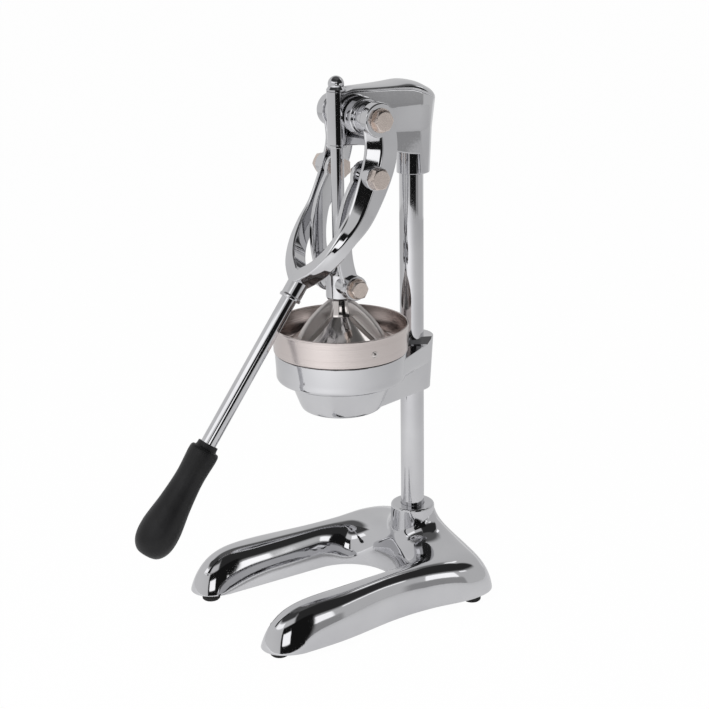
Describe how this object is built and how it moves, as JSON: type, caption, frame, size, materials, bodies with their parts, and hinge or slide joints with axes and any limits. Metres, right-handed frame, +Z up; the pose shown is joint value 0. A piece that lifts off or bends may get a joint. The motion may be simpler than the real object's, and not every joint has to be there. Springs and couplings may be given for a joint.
{
  "type": "lever fruit press",
  "caption": "Free-standing chrome lever press for pomegranates: horseshoe base, column, strainer cup on a holder and a ribbed bell driven down by a wishbone lever through curved links.",
  "frame": {"origin": "centre of the whole press's box in plan, on the table", "axes": "+Z up along the column, -Y to the front where the lever's grip is, +X to the right as seen from the front"},
  "size_m": [0.2034, 0.3807, 0.5568],
  "materials": {
    "chrome": "bright chrome plate over cast and drawn metal",
    "stainless": "warm satin stainless sheet",
    "fastener": "satin stainless bolts, nuts and washers",
    "grip": "satin black moulded grip",
    "rubber": "matt black rubber"
  },
  "bodies": {
    "stand": {"base_casting": "chrome", "foot_front_left": "rubber", "foot_front_right": "rubber", "foot_rear_left": "rubber", "foot_rear_right": "rubber", "foot_screws": "fastener", "column": "chrome", "column_plug": "fastener", "column_bolt": "fastener", "column_washer": "fastener", "head_casting": "chrome", "head_set_screw": "fastener", "bowl_holder": "chrome", "holder_set_screw": "fastener", "strainer_cup": "stainless", "cup_rivets": "stainless", "strainer_cone": "stainless", "pivot_bolt_left": "fastener", "pivot_bolt_right": "fastener", "pivot_washers": "fastener"},
    "lever": {"lever_fork": "chrome", "lever_bar": "chrome", "grip": "grip", "link_bolt_left": "fastener", "link_bolt_right": "fastener"},
    "plunger": {"press_rod": "chrome", "rod_cap": "chrome", "crosshead": "chrome", "crosshead_pin": "fastener", "presser_bell": "stainless", "bell_washer": "fastener", "bell_nut": "fastener", "crosshead_bolt_left": "fastener", "crosshead_bolt_right": "fastener", "crosshead_washers": "fastener"},
    "links": {"link_left": "chrome", "link_right": "chrome", "link_nuts": "fastener"}
  },
  "joints": [
    {"name": "lever_turn", "type": "hinge", "parent": "stand", "child": "lever", "pos_m": [0, 0.06989, 0.517], "axis": [-1, 0, 0], "range_deg": [0, 105]},
    {"name": "plunger_lift", "type": "slide", "parent": "stand", "child": "plunger", "axis": [0, 0, 1], "range_m": [0, 0.07955]},
    {"name": "links_turn", "type": "hinge", "parent": "plunger", "child": "links", "pos_m": [0, 0.04839, 0.3495], "axis": [1, 0, 0], "range_deg": [0, 23.33]}
  ],
  "couplings": [
    {"joint": "plunger_lift", "follows": "lever_turn", "m_per_rad": 0.0434},
    {"joint": "links_turn", "follows": "lever_turn", "ratio": 0.22202}
  ]
}
